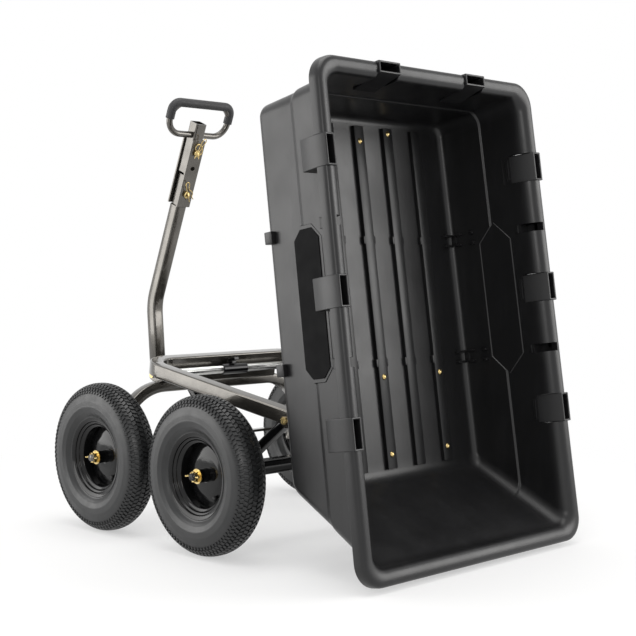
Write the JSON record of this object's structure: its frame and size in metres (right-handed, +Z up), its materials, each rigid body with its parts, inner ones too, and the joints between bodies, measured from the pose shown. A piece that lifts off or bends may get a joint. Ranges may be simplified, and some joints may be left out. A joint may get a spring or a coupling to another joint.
{
  "type": "tipping dump cart",
  "caption": "Garden dump cart: tapered moulded tub tipped up on a bent-tube frame, pneumatic tyres, steered front wheels and a bent pull handle with a loop grip.",
  "frame": {"origin": "on the ground, under the middle of the bounding box", "axes": "+X towards the dump end, -X towards the handle, +Z up; the tub is tipped at rest, as in the picture"},
  "size_m": [1.3269, 0.8878, 1.2161],
  "materials": {
    "tub_plastic": "moulded charcoal polyethylene",
    "plate_plastic": "matt black plate",
    "hammered_paint": "warm grey hammered powder coat",
    "black_enamel": "gloss black",
    "tyre_rubber": "matt block tread",
    "valve_rubber": "matt",
    "grip_rubber": "satin",
    "bush_nylon": "natural nylon",
    "yellow_zinc": "yellow zinc plate",
    "bright_zinc": "bright zinc plate"
  },
  "bodies": {
    "frame": {"frame_loop": "hammered_paint", "front_bolster": "hammered_paint", "front_arch": "hammered_paint", "rear_axle": "black_enamel", "rear_cross_tube": "hammered_paint", "tip_pivot_bolts": "yellow_zinc", "release_bar_brackets": "black_enamel", "rear_axle_washers": "yellow_zinc", "rear_axle_nuts": "yellow_zinc", "rear_cotter_pins": "yellow_zinc"},
    "tub": {"tub_shell": "tub_plastic", "stake_pockets_left": "tub_plastic", "stake_pockets_right": "tub_plastic", "stake_pockets_front": "tub_plastic", "tub_carrier": "hammered_paint", "latch_striker": "hammered_paint", "tub_bolts": "yellow_zinc", "tub_nuts": "yellow_zinc", "side_plates": "plate_plastic"},
    "wheel_front_left": {"tyre_front_left": "tyre_rubber", "rim_front_left": "black_enamel", "bushes_front_left": "bush_nylon", "valve_front_left": "valve_rubber"},
    "wheel_front_right": {"tyre_front_right": "tyre_rubber", "rim_front_right": "black_enamel", "bushes_front_right": "bush_nylon", "valve_front_right": "valve_rubber"},
    "wheel_rear_left": {"tyre_rear_left": "tyre_rubber", "rim_rear_left": "black_enamel", "bushes_rear_left": "bush_nylon", "valve_rear_left": "valve_rubber"},
    "wheel_rear_right": {"tyre_rear_right": "tyre_rubber", "rim_rear_right": "black_enamel", "bushes_rear_right": "bush_nylon", "valve_rear_right": "valve_rubber"},
    "knuckle_left": {"knuckle_left": "hammered_paint", "washer_left": "yellow_zinc", "axle_nut_left": "yellow_zinc", "cotter_pin_left": "yellow_zinc"},
    "knuckle_right": {"knuckle_right": "hammered_paint", "washer_right": "yellow_zinc", "axle_nut_right": "yellow_zinc", "cotter_pin_right": "yellow_zinc"},
    "tongue": {"tongue": "hammered_paint", "steering_post": "hammered_paint", "tongue_bolt": "yellow_zinc"},
    "tie_bar": {"tie_bar": "hammered_paint"},
    "handle": {"handle_tube": "hammered_paint", "tow_channel": "hammered_paint", "grip_stem": "hammered_paint", "grip_loop": "hammered_paint", "grip_sleeve": "grip_rubber", "channel_pin": "yellow_zinc"},
    "hitch_pin": {"hitch_pin": "yellow_zinc"},
    "release_bar": {"release_bar": "bright_zinc", "latch_hook": "black_enamel"}
  },
  "joints": [
    {"name": "tub_tip", "type": "hinge", "parent": "frame", "child": "tub", "pos_m": [0.30019, 0, 0.353], "axis": [0, 1, 0], "range_deg": [-72.9, 0]},
    {"name": "steer", "type": "hinge", "parent": "frame", "child": "tongue", "pos_m": [-0.38881, 0, 0.388], "axis": [0, 0, 1], "range_deg": [-16, 16]},
    {"name": "knuckle_left", "type": "hinge", "parent": "frame", "child": "knuckle_left", "pos_m": [-0.35281, -0.322, 0.203], "axis": [0, 0, 1], "range_deg": [-16, 16]},
    {"name": "knuckle_right", "type": "hinge", "parent": "frame", "child": "knuckle_right", "pos_m": [-0.35281, 0.322, 0.203], "axis": [0, 0, 1], "range_deg": [-16, 16]},
    {"name": "tie_bar", "type": "hinge", "parent": "tongue", "child": "tie_bar", "pos_m": [-0.46881, 0, 0.2114], "axis": [0, 0, 1], "range_deg": [-16, 16]},
    {"name": "spin_front_left", "type": "hinge", "parent": "knuckle_left", "child": "wheel_front_left", "pos_m": [-0.35281, -0.396, 0.203], "axis": [0, 1, 0], "continuous": true},
    {"name": "spin_front_right", "type": "hinge", "parent": "knuckle_right", "child": "wheel_front_right", "pos_m": [-0.35281, 0.396, 0.203], "axis": [0, 1, 0], "continuous": true},
    {"name": "spin_rear_left", "type": "hinge", "parent": "frame", "child": "wheel_rear_left", "pos_m": [0.08719, -0.396, 0.203], "axis": [0, 1, 0], "continuous": true},
    {"name": "spin_rear_right", "type": "hinge", "parent": "frame", "child": "wheel_rear_right", "pos_m": [0.08719, 0.396, 0.203], "axis": [0, 1, 0], "continuous": true},
    {"name": "handle_swing", "type": "hinge", "parent": "tongue", "child": "handle", "pos_m": [-0.62781, 0, 0.388], "axis": [0, -1, 0], "range_deg": [0, 100]},
    {"name": "hitch_pin_pull", "type": "slide", "parent": "handle", "child": "hitch_pin", "axis": [0.9239, 0, -0.3827], "range_m": [0, 0.06]},
    {"name": "latch_release", "type": "hinge", "parent": "frame", "child": "release_bar", "pos_m": [-0.26808, 0, 0.42782], "axis": [0, 1, 0], "range_deg": [0, 24]}
  ],
  "couplings": [
    {"joint": "knuckle_left", "follows": "steer", "ratio": 1},
    {"joint": "knuckle_right", "follows": "steer", "ratio": 1},
    {"joint": "tie_bar", "follows": "steer", "ratio": -1}
  ]
}
